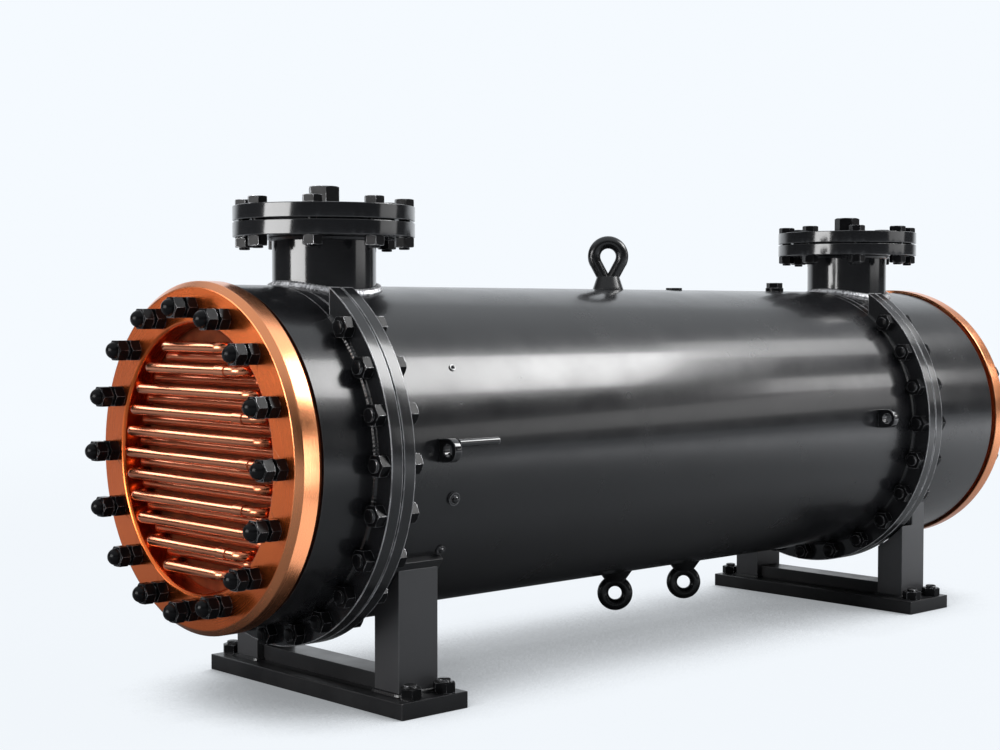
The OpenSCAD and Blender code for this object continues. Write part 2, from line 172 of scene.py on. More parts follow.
# Legs: a lightened copy of the saddle's paint, painted light
LIT_LEG_SATIN = (0.031, 0.031, 0.033)
LIT_LEG_SATIN_PALE = (0.060, 0.060, 0.063)
OXIDE = (0.0025, 0.0025, 0.0028)
OXIDE_PALE = (0.008, 0.008, 0.0088)
COPPER = (0.90, 0.185, 0.036)
COPPER_DARK = (0.50, 0.085, 0.018)
COPPER_RIM = (0.96, 0.39, 0.18)
COPPER_EDGE = (1.0, 0.60, 0.34)
# TUBE_DARK is also the painted shade of the tubes deep in the bank
TUBE = (0.90, 0.36, 0.20)
TUBE_DARK = (0.34, 0.065, 0.02)
# Tube sheet: copper darkened as painted shade behind the tubes
SHEET = (0.22, 0.05, 0.015)
SHEET_DARK = (0.06, 0.013, 0.005)
GRAPHITE = (0.10, 0.10, 0.105)
# Near-white neck weld beads: a painted highlight
BEAD = (0.85, 0.85, 0.87)
BEAD_DARK = (0.30, 0.30, 0.31)
WHITE = (0.913, 0.956, 1.0)

# Floor: its colours, the painted shadow that darkens its glow under the object, and how it fades
# into the background
FLOOR_HALF = 30.0
FLOOR = (0.80, 0.81, 0.83)
FLOOR_SEEN = (0.020, 0.020, 0.021)
FLOOR_GLOW = 0.955
FLOOR_ROUGH = 0.5
FADE_FROM = 1.3
FADE_TO = 4.2
SHADE_REACH = 0.26
SHADE_SAMPLES = 8
SHADE_FROM = 0.345
SHADE_TO = 0.61
SHADE_DARK = 0.32
# The floor as reflections see it: dim, with painted shade under the object and nearer to it
MIRRORED_SHADE_FROM = 0.33
MIRRORED_SHADE_TO = 0.94
MIRRORED_SHADE_DARK = 0.14
MIRRORED_UNDER = (0.02, 0.02, 0.02)
MIRRORED_NEAR = (0.30, 0.31, 0.32)
MIRRORED_FAR = (0.80, 0.81, 0.83)
MIRRORED_FROM = 0.9
MIRRORED_TO = 2.6

# The room that the object reflects: a dim hall with a pale ceiling and a white wall on the far side
ROOM_COLOUR = (0.92, 0.96, 1.0)
ROOM_LOW = 0.05
ROOM_HIGH = 0.75
CEILING_FROM = 0.3
CEILING_TO = 0.75
ROOM_WALL = 0.95
WALL_FROM = 0.55
WALL_TO = 0.85

# Lamps: name, place, aim, width and height, watts, and the group they light (None is everything)
LAMPS = (
    ("long_softbox", (2.07, -1.52, 2.21), (2.07, -0.37, -0.03), (0.815, 1.2), 36, None),
    ("long_softbox_left", (1.19, -1.52, 2.21), (1.19, -0.37, -0.03), (0.935, 1.2), 32.5, None),
    ("far_softbox", (3.1, -0.95, 2.5), (3.1, 0.0, 0.36), (1.3, 0.7), 8, None),
    ("far_strip", (3.9, -2.3, 1.8), (3.9, -0.3, 0.3), (1.2, 0.6), 11, None),
    ("left_panel", (-3.1, 0.3, 0.85), (-0.52, 0, 0.5), (1.7, 1.1), 52, "object"),
    ("tube_strip", (-2.2, 3.3, 2.1), (-0.7, 0, 0.3), (2.8, 0.8), 46, "tubes"),
    ("right_panel", (1.9, -2.0, 0.80), (-0.52, 0, 0.55), (1.6, 0.45), 3.0, None),
    ("face_panel", (-2.7, 1.65, 1.0), (-0.71, 0, 0.3), (1.2, 1.2), 13, "rings"),
    ("rim_panel", (-0.17, -1.10, 0.27), (-0.69, -0.2, 0.30), (0.3, 0.5), 1.7, "rings"),
    ("low_panel", (-0.555, -0.30, 0.07), (-0.695, -0.17, 0.2), (0.26, 0.26), 0.2, "rings"),
    ("high_panel", (-0.10, -0.36, 1.20), (-0.69, -0.13, 0.44), (0.6, 0.5), 0.9, "rings"),
)


# Node graphs

class Graph:
    """The node tree of a material or world, with short calls to add and link nodes."""

    def __init__(self, owner, coordinates="Object"):
        owner.use_nodes = True
        self.owner = owner
        self.tree = owner.node_tree
        self.tree.nodes.clear()
        self.place = self.add("ShaderNodeTexCoord").outputs[coordinates]

    def add(self, kind, inputs=(), **settings):
        """Adds a node. Inputs are values or the outputs of other nodes."""
        node = self.tree.nodes.new(kind)
        for key, value in settings.items():
            setattr(node, key, value)
        for key, value in dict(inputs).items():
            self.feed(node.inputs[key], value)
        return node

    def feed(self, socket, value):
        """Links an output to an input, or writes a value or colour on it."""
        if isinstance(value, bpy.types.NodeSocket):
            self.tree.links.new(value, socket)
        elif isinstance(value, tuple) and len(value) == 3 and socket.type == "RGBA":
            socket.default_value = (*value, 1.0)
        else:
            socket.default_value = value

    def math(self, operation, a, b=0.0):
        return self.add("ShaderNodeMath", {0: a, 1: b}, operation=operation).outputs[0]

    def length(self, vector):
        return self.add("ShaderNodeVectorMath", {0: vector}, operation="LENGTH").outputs["Value"]

    def dot(self, a, b):
        node = self.add("ShaderNodeVectorMath", {0: a, 1: b}, operation="DOT_PRODUCT")
        return node.outputs["Value"]

    def split(self, vector):
        return self.add("ShaderNodeSeparateXYZ", {"Vector": vector}).outputs

    def noise(self, scale, detail, place=None):
        inputs = {"Vector": self.place if place is None else place, "Scale": scale,
                  "Detail": detail, "Roughness": NOISE_ROUGHNESS}
        return self.add("ShaderNodeTexNoise", inputs).outputs["Fac"]

    def stretched(self, scale):
        """The object's own coordinates, scaled differently along each axis."""
        inputs = {"Vector": self.place, "Scale": scale}
        return self.add("ShaderNodeMapping", inputs).outputs["Vector"]

    def radius(self):
        """Distance from the shell axis."""
        parts = self.split(self.place)
        inputs = {"X": parts["Y"], "Y": self.math("SUBTRACT", parts["Z"], AXIS_H)}
        return self.length(self.add("ShaderNodeCombineXYZ", inputs).outputs["Vector"])

    def turned(self, across, along):
        """Coordinates that change only with the distance from the axis and the place along it."""
        inputs = {"X": self.math("MULTIPLY", self.radius(), across),
                  "Y": self.math("MULTIPLY", self.split(self.place)["X"], along)}
        return self.add("ShaderNodeCombineXYZ", inputs).outputs["Vector"]

    def remap(self, value, low, high, to_low=0.0, to_high=1.0, ease="LINEAR"):
        inputs = {"Value": value, "From Min": low, "From Max": high,
                  "To Min": to_low, "To Max": to_high}
        return self.add("ShaderNodeMapRange", inputs, interpolation_type=ease).outputs["Result"]

    def mix(self, factor, a, b):
        """Colour a where the factor is 0, colour b where it is 1."""
        node = self.add("ShaderNodeMix", data_type="RGBA")
        for key, value in ((0, factor), (6, a), (7, b)):
            self.feed(node.inputs[key], value)
        return node.outputs[2]

    def edges(self, width):
        """1 on convex and concave edges, 0 on flat faces."""
        rounded = self.add("ShaderNodeBevel", {"Radius": width}, samples=EDGE_SAMPLES)
        plain = self.add("ShaderNodeNewGeometry")
        alike = self.dot(rounded.outputs["Normal"], plain.outputs["Normal"])
        return self.remap(self.math("SUBTRACT", 1.0, alike), EDGE_FROM, EDGE_TO)

    def bump(self, height, distance, strength, onto=None):
        inputs = {"Height": height, "Distance": distance, "Strength": strength}
        if onto is not None:
            inputs["Normal"] = onto
        return self.add("ShaderNodeBump", inputs).outputs["Normal"]

    def surface(self, shader, output="ShaderNodeOutputMaterial"):
        self.add(output, {"Surface": shader.outputs[0]})

    def finish(self, **inputs):
        """Ends a material with a Principled shader."""
        names = {key.replace("_", " "): value for key, value in inputs.items()}
        self.surface(self.add("ShaderNodeBsdfPrincipled", names))
        return self.owner


def new_graph(name):
    return Graph(bpy.data.materials.new(name))


# Materials

def gloss_paint(name, dark, pale, roughness, coat, peel, edge_wear_and_highlight, edge=PAINT_EDGE, edge_width=0.0016):
    """Black enamel: a little uneven, with fine flecks, orange peel and edges lightened in patches,
    partly worn thin paint and partly painted highlight.
    """
    g = new_graph(name)
    cloud = g.noise(5.0, detail=5.0)
    fleck = g.remap(g.noise(420.0, detail=2.0), 0.62, 0.75)
    colour = g.mix(cloud, dark, pale)
    colour = g.mix(g.math("MULTIPLY", fleck, 0.25), colour, pale)
    # Edges lightened in patches: partly worn thin paint, partly a painted highlight where the edges
    # catch the light.
    patches = g.remap(g.noise(38.0, detail=4.0), 0.35, 0.7, 0.25 * edge_wear_and_highlight, edge_wear_and_highlight)
    colour = g.mix(g.math("MULTIPLY", g.edges(edge_width), patches), colour, edge)
    waves = g.bump(g.noise(7.0, detail=2.0), distance=0.0016, strength=0.35)
    skin = g.bump(g.noise(260.0, detail=2.0), distance=0.00022, strength=peel, onto=waves)
    rough = g.remap(g.noise(16.0, detail=5.0), 0.3, 0.75, roughness * 0.85, roughness * 1.3)
    return g.finish(Base_Color=colour, Roughness=rough, Normal=skin, Coat_Weight=coat,
                    Coat_Roughness=0.09, Specular_IOR_Level=0.55)


def black_oxide(name):
    """Oxidised steel of nuts, studs and bolts: nearly black, a little oily, bright where rubbed."""
    g = new_graph(name)
    colour = g.mix(g.noise(60.0, detail=4.0), OXIDE, OXIDE_PALE)
    patches = g.remap(g.noise(90.0, detail=3.0), 0.45, 0.62, 0.05, 0.9)
    rubbed = g.math("MULTIPLY", g.edges(0.0011), patches)
    colour = g.mix(rubbed, colour, BRIGHT_EDGE)
    rough = g.remap(g.noise(110.0, detail=4.0), 0.3, 0.7, 0.14, 0.26)
    grain = g.bump(g.noise(900.0, detail=2.0), distance=0.00008, strength=0.5)
    return g.finish(Base_Color=colour, Metallic=g.math("MULTIPLY", rubbed, 0.8), Roughness=rough,
                    Normal=grain, Specular_IOR_Level=0.12)


def highlight_bead(name):
    """A near-white weld bead that stands in for a painted highlight: mottled, darker in the hollows
    of its ripples.
    """
    g = new_graph(name)
    mottle = g.noise(180.0, detail=3.0)
    colour = g.mix(g.remap(mottle, 0.35, 0.65), BEAD_DARK, BEAD)
    rough = g.remap(mottle, 0.3, 0.7, 0.22, 0.38)
    ripples = g.bump(mottle, distance=0.0002, strength=0.5)
    return g.finish(Base_Color=colour, Metallic=0.45, Roughness=rough, Normal=ripples)


def turned_copper(name):
    """A turned copper ring: fine lathe lines, soft tarnish, bright edges and a polished rim."""
    g = new_graph(name)
    lines = g.noise(1.0, detail=4.0, place=g.turned(1500.0, 1500.0))
    bands = g.noise(1.0, detail=2.0, place=g.turned(120.0, 160.0))
    tarnish = g.remap(g.noise(9.0, detail=6.0), 0.42, 0.74)
    colour = g.mix(g.math("MULTIPLY", tarnish, 0.55), COPPER, COPPER_DARK)
    colour = g.mix(g.math("MULTIPLY", bands, 0.18), colour, COPPER_DARK)
    rim = g.remap(g.radius(), RIM_FROM, RIM_TO, 0.0, 0.85)
    colour = g.mix(rim, colour, COPPER_RIM)
    colour = g.mix(g.math("MULTIPLY", g.edges(0.0022), 0.75), colour, COPPER_EDGE)
    uneven = g.math("ADD", g.math("MULTIPLY", lines, 0.6), g.math("MULTIPLY", tarnish, 0.5))
    rough = g.remap(uneven, 0.2, 0.9, 0.2, 0.36)
    grooves = g.bump(lines, distance=0.00007, strength=0.6)
    return g.finish(Base_Color=colour, Metallic=1.0, Roughness=rough, Normal=grooves,
                    Coat_Weight=0.3, Coat_Roughness=0.16)


def shaded_copper(name):
    """The tube sheet: copper darkened to brown as painted shade behind the tubes, stained at random.
    """
    g = new_graph(name)
    stain = g.remap(g.noise(22.0, detail=6.0), 0.35, 0.7)
    colour = g.mix(stain, SHEET, SHEET_DARK)
    rough = g.remap(g.noise(70.0, detail=4.0), 0.3, 0.7, 0.45, 0.65)
    crust = g.bump(stain, distance=0.0003, strength=0.5)
    return g.finish(Base_Color=colour, Metallic=0.8, Roughness=rough, Normal=crust)


def drawn_copper(name, shade_and_dullness):
    """Copper tubes: streaks along them, each a little different, heat tint where they bend, and
    painted shade plus more roughness for tubes deep in the bank.
    """
    g = new_graph(name)
    streaks = g.noise(1.0, detail=4.0, place=g.stretched((900.0, 14.0, 900.0)))
    each = g.noise(1.0, detail=0.0, place=g.stretched((0.0, 0.0, 61.0)))
    side = g.math("ABSOLUTE", g.split(g.place)["Y"])
    blotches = g.remap(g.noise(55.0, detail=4.0), 0.3, 0.7, 0.25, 0.8)
    tint = g.math("MULTIPLY", g.remap(side, BEND_FROM, BEND_TO), blotches)
    colour = g.mix(g.remap(each, 0.35, 0.65, 0.0, 0.35 + shade_and_dullness), TUBE, TUBE_DARK)
    colour = g.mix(g.math("MULTIPLY", streaks, 0.3), colour, TUBE_DARK)
    colour = g.mix(tint, colour, TUBE_DARK)
    rough = g.remap(streaks, 0.25, 0.75, 0.17 + 0.1 * shade_and_dullness, 0.33 + 0.1 * shade_and_dullness)
    scores = g.bump(streaks, distance=0.00008, strength=0.5)
    return g.finish(Base_Color=colour, Metallic=1.0, Roughness=rough, Normal=scores)


def graphite_gasket(name):
    """The edge of a graphite gasket: dark, matte and fibrous."""
    g = new_graph(name)
    fibre = g.noise(300.0, detail=5.0)
    colour = g.mix(fibre, GRAPHITE, PAINT_PALE)
    rough = g.remap(fibre, 0.2, 0.8, 0.6, 0.85)
    return g.finish(Base_Color=colour, Roughness=rough,
                    Normal=g.bump(fibre, distance=0.0002, strength=0.6))


MATERIALS = {
    "black_paint": gloss_paint("black_enamel", PAINT, PAINT_PALE, roughness=0.23, coat=0.3,
                               peel=0.10, edge_wear_and_highlight=0.5),
    "saddle_paint": gloss_paint("saddle_enamel", SATIN, SATIN_PALE, roughness=0.38, coat=0.2,
                                peel=0.2, edge_wear_and_highlight=0.6),
    "black_fitting": gloss_paint("fitting_enamel", OXIDE, PAINT, roughness=0.26, coat=0.3,
                                 peel=0.15, edge_wear_and_highlight=0.5),
    "black_fastener": black_oxide("black_oxide"),
    "copper": turned_copper("turned_copper"),
    "copper_tube": drawn_copper("drawn_copper", shade_and_dullness=0.0),
    "gasket": graphite_gasket("graphite"),
}
NOZZLE_ENAMEL = gloss_paint("nozzle_enamel", PAINT, PAINT_PALE, roughness=0.14, coat=0.5, peel=0.08,
                            edge_wear_and_highlight=0.9)
# Flanges: near-white BRIGHT_EDGE along their edges, a painted highlight.
FLANGE_ENAMEL = gloss_paint("flange_enamel", PAINT, PAINT_PALE, roughness=0.22, coat=0.4, peel=0.12,
                            edge_wear_and_highlight=1.4, edge=BRIGHT_EDGE, edge_width=0.0028)
# Side hooks and bar: pale patchy edges in the enamel, a painted highlight.
HIGHLIGHT_EDGE_ENAMEL = gloss_paint("highlight_edge_enamel", OXIDE, PAINT, roughness=0.13, coat=0.8, peel=0.10,
                            edge_wear_and_highlight=1.2, edge=SIDE_EDGE_HIGHLIGHT, edge_width=0.0020)
# Legs: the saddle's paint lightened as painted light, with painted highlights on their edges.
LIT_LEG_ENAMEL = gloss_paint("lit_leg_enamel", LIT_LEG_SATIN, LIT_LEG_SATIN_PALE, roughness=0.36, coat=0.2,
                         peel=0.2, edge_wear_and_highlight=1.2)
BRIGHT_BEAD = highlight_bead("bright_bead")
# Inner tubes and tube sheet: darkened as painted shade behind the front row of tubes.
INNER_TUBE = drawn_copper("drawn_copper_in_shade", shade_and_dullness=0.5)
TUBE_SHEET = shaded_copper("shaded_copper")


def material_of(name, slot):
    """A node's finish: its slot's, or its own: glossier enamel on the nozzles, painted edge
    highlights on the flanges and side fittings, legs lightened as painted light, and painted shade
    on the inner tubes and the tube sheet.
    """
    if "inner_tubes" in name:
        return INNER_TUBE
    if "tube_sheet" in name:
        return TUBE_SHEET
    if "saddle_legs" in name:
        return LIT_LEG_ENAMEL
    if "side_" in name:
        return HIGHLIGHT_EDGE_ENAMEL
    if slot == "black_paint" and "nozzle" in name:
        return NOZZLE_ENAMEL
    if slot == "black_paint" and "flange" in name:
        return FLANGE_ENAMEL
    return MATERIALS[slot]


def dress_nodes():
    """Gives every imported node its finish, softened edges and smooth round faces."""
    slots = {row["node"]: row["material_slot"] for row in frame["record"]["subparts"]}
    for name, obj in NODES.items():
        obj.data.materials.clear()
        obj.data.materials.append(material_of(name, slots[name]))
        obj.modifiers.new("join", "WELD").merge_threshold = JOIN_WITHIN
        bevel = obj.modifiers.new("soft_edges", "BEVEL")
        bevel.width = SOFT_EDGE
        bevel.segments = 2
        bevel.limit_method = "ANGLE"
        bevel.angle_limit = SOFT_EDGE_FROM
        bevel.use_clamp_overlap = True
        even = obj.modifiers.new("even_shading", "WEIGHTED_NORMAL")
        even.mode = "FACE_AREA"
        even.weight = 100
        even.keep_sharp = True


# Mesh pieces

PIECES = []


def piece(name, bm, material, slot, *replaced):
    """Turns a bmesh into a shown piece that rides on the object."""
    mesh = bpy.data.meshes.new(name)
    bmesh.ops.recalc_face_normals(bm, faces=bm.faces)
    bm.to_mesh(mesh)
    bm.free()
    for polygon in mesh.polygons:
        polygon.use_smooth = True
    obj = bpy.data.objects.new(name, mesh)
    bpy.context.scene.collection.objects.link(obj)
    obj.data.materials.append(material)
    mesh.set_sharp_from_angle(angle=SHARP_FROM)
    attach(obj, "root")
    if replaced:
        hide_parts(*replaced)
    PIECES.append(obj)


def fasteners(name, bm, replaced):
    """A piece that stands in for one node of fasteners."""
    piece(name, bm, MATERIALS["black_fastener"], "black_fastener", replaced)


def loft(bm, rings, closed=False):
    """Joins rings of points into a skin. Every ring has the same number of points."""
    made = [[bm.verts.new(point) for point in ring] for ring in rings]
    count = len(made[0])
    pairs = list(zip(made, made[1:]))
    if closed:
        pairs.append((made[-1], made[0]))
    for low, high in pairs:
        for i in range(count):
            j = (i + 1) % count
            bm.faces.new((low[i], low[j], high[j], high[i]))
    if not closed:
        bm.faces.new(made[0][::-1])
        bm.faces.new(made[-1])


def polar(radius, angle, z):
    return Vector((radius * math.cos(angle), radius * math.sin(angle), z))


def circle(radius, z, sides):
    return [polar(radius, 2 * math.pi * i / sides, z) for i in range(sides)]


def hexagon(flats, z, chamfer_z):
    """A hexagon's outline, its corners taken up or down along Z by the usual chamfer."""
    points = []
    for i in range(NUT_SIDES):
        angle = 2 * math.pi * i / NUT_SIDES
        off = (angle + math.pi / 6) % (math.pi / 3) - math.pi / 6
        radius = flats / 2 / math.cos(off)
        drop = (radius - flats / 2) * math.tan(NUT_CHAMFER)
        points.append(polar(radius, angle, z + chamfer_z * drop))
    return points


def placed(rings, matrix):
    return [[matrix @ point for point in ring] for ring in rings]


def lifted(matrix, height):
    """The matrix moved along its own Z."""
    return matrix @ Matrix.Translation((0, 0, height))


def facing(place, direction):
    """A matrix that puts a shape drawn along Z at place, pointing along direction."""
    turn = Vector(direction).to_track_quat("Z", "Y").to_matrix().to_4x4()
    return Matrix.Translation(place) @ turn


def on_circle(x, radius, angle):
    """A point on a circle round the axis, at angle from the top towards the near side."""
    return Vector((x, -radius * math.sin(angle), AXIS_H + radius * math.cos(angle)))


def add_nut(bm, matrix, flats, height, chamfer_base=True):
    """A chamfered hexagon nut from z = 0 up, its bore closed by the rod that runs through it."""
    rings = [circle(flats * NUT_SEAT, 0.0, NUT_SIDES),
             hexagon(flats, 0.0, 1.0 if chamfer_base else 0.0),
             hexagon(flats, height, -1.0),
             circle(flats * NUT_CROWN, height, NUT_SIDES)]
    loft(bm, placed(rings, matrix @ Matrix.Rotation(math.pi / 6, 4, "Z")))


def add_cap_nut(bm, matrix):
    """A cap nut that grows along Z: chamfered hexagon and dome."""
    rings = [circle(NUT_FLATS * NUT_SEAT, 0.0, NUT_SIDES),
             hexagon(NUT_FLATS, 0.0, 1.0),
             hexagon(NUT_FLATS, NUT_H, -1.0)]
    for i in range(CAP_DOME_STEPS):
        angle = math.pi / 2 * i / CAP_DOME_STEPS
        height = NUT_H + CAP_DOME_R * math.sin(angle)
        rings.append(circle(CAP_DOME_R * math.cos(angle), height, NUT_SIDES))
    rings.append(circle(CAP_DOME_R * CAP_DOME_TOP, NUT_H + CAP_DOME_R, NUT_SIDES))
    loft(bm, placed(rings, matrix @ Matrix.Rotation(math.pi / 6, 4, "Z")))


def add_rod(bm, matrix, radius, low, high, threads_low=0.0, threads_high=0.0):
    """A rod along Z with thread ridges over the stated lengths at its ends, and chamfered tips."""
    rings = [circle(radius * ROD_TIP, low, ROD_SIDES),
             circle(radius, low + ROD_TIP_H, ROD_SIDES)]

    def ridges(start, length):
        for i in range(int(length / THREAD_PITCH)):
            z = start + (i + THREAD_START) * THREAD_PITCH
            rings.append(circle(radius, z, ROD_SIDES))
            rings.append(circle(radius * THREAD_ROOT, z + THREAD_PITCH / 2, ROD_SIDES))

    ridges(low + ROD_TIP_H, threads_low)
    ridges(high - ROD_TIP_H - threads_high, threads_high)
    rings += [circle(radius, high - ROD_TIP_H, ROD_SIDES),
              circle(radius * ROD_TIP, high, ROD_SIDES)]
    rings.sort(key=lambda ring: ring[0].z)
    loft(bm, placed(rings, matrix))


def end_studs(end):
    """Studs round a copper ring, each with a nut against the ring and a cap nut at its tip."""
    bm = bmesh.new()
    lo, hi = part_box(f"{end}_end_studs")
    if end == "front":
        face_x, inner_x, outward = RING_LO[0], hi[0], FORWARD
    else:
        face_x, inner_x, outward = REAR_RING_HI[0], lo[0], BACKWARD
    for i in range(STUD_COUNT):
        out = facing(on_circle(face_x, STUD_CIRCLE_R, 2 * math.pi * i / STUD_COUNT), outward)
        add_nut(bm, out, NUT_FLATS, NUT_H)
        add_rod(bm, out, ROD_R, -abs(inner_x - face_x), NUT_H + STUD_GAP + ROD_IN_HEAD,
                threads_high=STUD_THREAD_SHOWN)
        add_cap_nut(bm, lifted(out, NUT_H + STUD_GAP))
    fasteners(f"{end}_studs_detailed", bm, f"{end}_end_studs")


def girth_bolts(end):
    """Through bolts of a girth joint, placed where the solids' bolts are."""
    bm = bmesh.new()
    lo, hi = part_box(f"{end}_girth_bolts")
    front_flange = "front_channel_flange" if end == "front" else "shell_rear_flange"
    rear_flange = "shell_front_flange" if end == "front" else "rear_channel_flange"
    x0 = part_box(front_flange)[0][0]
    x1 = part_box(rear_flange)[1][0]
    radius = SHELL_R + NUT_FLATS / 2 / math.cos(math.pi / 6) + NUT_GAP
    for i in range(GIRTH_FIRST, GIRTH_PLACES - GIRTH_FIRST + 1):
        angle = 2 * math.pi * i / GIRTH_PLACES
        back = facing(on_circle(x1, radius, angle), BACKWARD)
        add_nut(bm, facing(on_circle(x0, radius, angle), FORWARD), NUT_FLATS, NUT_H)
        add_nut(bm, back, NUT_FLATS, NUT_H)
        add_rod(bm, back, ROD_R, lo[0] - x1, hi[0] - x1, THREAD_SHOWN, THREAD_SHOWN)
    fasteners(f"{end}_girth_bolts_detailed", bm, f"{end}_girth_bolts")


def nozzle_bolts(end):
    """Bolts through a nozzle's flange and cover: head on top, nut and thread below."""
    bm = bmesh.new()
    lo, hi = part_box(f"{end}_nozzle_bolts")
    neck_lo, neck_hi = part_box(f"{end}_nozzle_neck")
    centre_x = (neck_lo[0] + neck_hi[0]) / 2
    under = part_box(f"{end}_nozzle_flange")[0][2]
    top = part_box(f"{end}_nozzle_cover")[1][2]
    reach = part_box(f"{end}_nozzle_cover")[1][1] - NOZZLE_EDGE
    for i in range(NOZZLE_BOLTS):
        angle = 2 * math.pi * i / NOZZLE_BOLTS
        x, y = centre_x + reach * math.cos(angle), reach * math.sin(angle)
        nut = facing((x, y, under), DOWN)
        add_nut(bm, facing((x, y, top), UP), SMALL_FLATS, hi[2] - top, chamfer_base=False)
        add_nut(bm, nut, SMALL_FLATS, SMALL_NUT_H)
        add_rod(bm, nut, SMALL_ROD_R, under - top - ROD_IN_HEAD, under - lo[2],
                threads_high=SMALL_THREAD_SHOWN)
    fasteners(f"{end}_nozzle_bolts_detailed", bm, f"{end}_nozzle_bolts")


def nozzle_plugs():
    """A round collar and a chamfered hexagon on each cover."""
    bm = bmesh.new()
    lo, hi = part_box("nozzle_plugs")
    collar = [circle(PLUG_COLLAR_R, 0.0, PLUG_SIDES),
              circle(PLUG_COLLAR_R, PLUG_COLLAR_H - PLUG_EDGE, PLUG_SIDES),
              circle(PLUG_COLLAR_R - PLUG_EDGE, PLUG_COLLAR_H, PLUG_SIDES)]
    for end in ENDS:
        cover_lo, cover_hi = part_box(f"{end}_nozzle_cover")
        up = facing(((cover_lo[0] + cover_hi[0]) / 2, 0, lo[2]), UP)
        loft(bm, placed(collar, up))
        add_nut(bm, lifted(up, PLUG_COLLAR_H), PLUG_FLATS, hi[2] - lo[2] - PLUG_COLLAR_H,
                chamfer_base=False)
    fasteners("nozzle_plugs_detailed", bm, "nozzle_plugs")


def anchor_bolts():
    """Four bolts up through each base plate, with their nuts on top."""
    bm = bmesh.new()
    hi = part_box("anchor_bolts")[1]
    half_y = hi[1] - NUT_FLATS / 2
    for end in ENDS:
        base_lo, base_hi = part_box(f"{end}_saddle_base")
        middle = (base_lo[0] + base_hi[0]) / 2
        top = base_hi[2]
        for x in (middle - ANCHOR_SPREAD, middle + ANCHOR_SPREAD):
            for y in (-half_y, half_y):
                up = facing((x, y, top), UP)
                add_nut(bm, up, NUT_FLATS, NUT_H)
                add_rod(bm, up, ROD_R, -top, hi[2] - top, threads_high=THREAD_SHOWN)
    fasteners("anchor_bolts_detailed", bm, "anchor_bolts")


# Welds

def add_bead(bm, path, radius, closed=True):
    """A weld bead along a path, with the ripples that a welder leaves."""
    rings = []
    count = len(path)
    run = 0.0
    for i, point in enumerate(path):
        ahead = path[(i + 1) % count] if closed or i + 1 < count else point
        behind = path[i - 1] if closed or i > 0 else point
        run += (point - path[i - 1]).length if i else 0.0
        turn = (ahead - behind).normalized().to_track_quat("Z", "Y").to_matrix()
        swell = radius * (1 + BEAD_SWELL * abs(math.sin(math.pi * run / BEAD_WAVE)))
        rings.append([point + turn @ spoke for spoke in circle(swell, 0.0, BEAD_SIDES)])
    loft(bm, rings, closed=closed)


def girth_path(x, skip):
    """Points round the shell's surface at x, leaving out skip radians each side of the top."""
    sweep = 2 * math.pi - 2 * skip
    return [on_circle(x, SHELL_R + THIN_BEAD_OUT, skip + sweep * i / (GIRTH_BEAD_STEPS - 1))
            for i in range(GIRTH_BEAD_STEPS)]


def neck_path(x, radius):
    """Where a nozzle neck meets the shell."""
    points = []
    for i in range(NECK_BEAD_STEPS):
        angle = 2 * math.pi * i / NECK_BEAD_STEPS
        y = radius * math.sin(angle)
        z = AXIS_H + math.sqrt(SHELL_R ** 2 - y ** 2)
        points.append(Vector((x + radius * math.cos(angle), y, z)))
    return points


def foot_path(x0, x1, y0, y1, z):
    """Closely spaced points round a rectangle."""
    corners = [Vector((x0, y0, z)), Vector((x1, y0, z)), Vector((x1, y1, z)), Vector((x0, y1, z))]
    path = []
    for a, b in zip(corners, corners[1:] + corners[:1]):
        steps = max(2, int((b - a).length / FOOT_BEAD_STEP))
        path += [a.lerp(b, i / steps) for i in range(steps)]
    return path


def welds():
    """Beads in black enamel at the girth flanges and the necks' tops; near-white ones at the necks'
    feet, a painted highlight.
    """
    painted = bmesh.new()
    bright = bmesh.new()
    cover_lo, cover_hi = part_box("front_nozzle_cover")
    notch = (cover_hi[0] - cover_lo[0]) / 2 + NOTCH_OVER
    skip = math.asin(notch / SHELL_R)
    for name, side in (("front_channel_flange", 0), ("shell_front_flange", 1),
                       ("shell_rear_flange", 0), ("rear_channel_flange", 1)):
        add_bead(painted, girth_path(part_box(name)[side][0], skip), THIN_BEAD_R, closed=False)
    for end in ENDS:
        lo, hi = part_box(f"{end}_nozzle_neck")
        x, radius = (lo[0] + hi[0]) / 2, (hi[0] - lo[0]) / 2
        add_bead(bright, neck_path(x, radius + NECK_BEAD_OUT), NECK_BEAD_R)
        top = Vector((x, 0, hi[2] - NECK_TOP_DROP))
        ring = circle(radius + THIN_BEAD_OUT, 0.0, NECK_TOP_STEPS)
        add_bead(painted, [top + point for point in ring], THIN_BEAD_R)
    piece("weld_beads", painted, MATERIALS["black_paint"], "black_paint")
    piece("neck_welds", bright, BRIGHT_BEAD, "black_paint")


def plate_welds():
    """Fillet welds where the legs stand on their base plates."""
    bm = bmesh.new()
    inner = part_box("saddle_beams")[1][1]
    for end in ENDS:
        lo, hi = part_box(f"{end}_saddle_legs")
        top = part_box(f"{end}_saddle_base")[1][2]
        for y0, y1 in ((-hi[1], -inner), (inner, hi[1])):
            add_bead(bm, foot_path(lo[0], hi[0], y0, y1, top), FOOT_BEAD_R)
    piece("saddle_welds", bm, MATERIALS["saddle_paint"], "saddle_paint")


# Studio

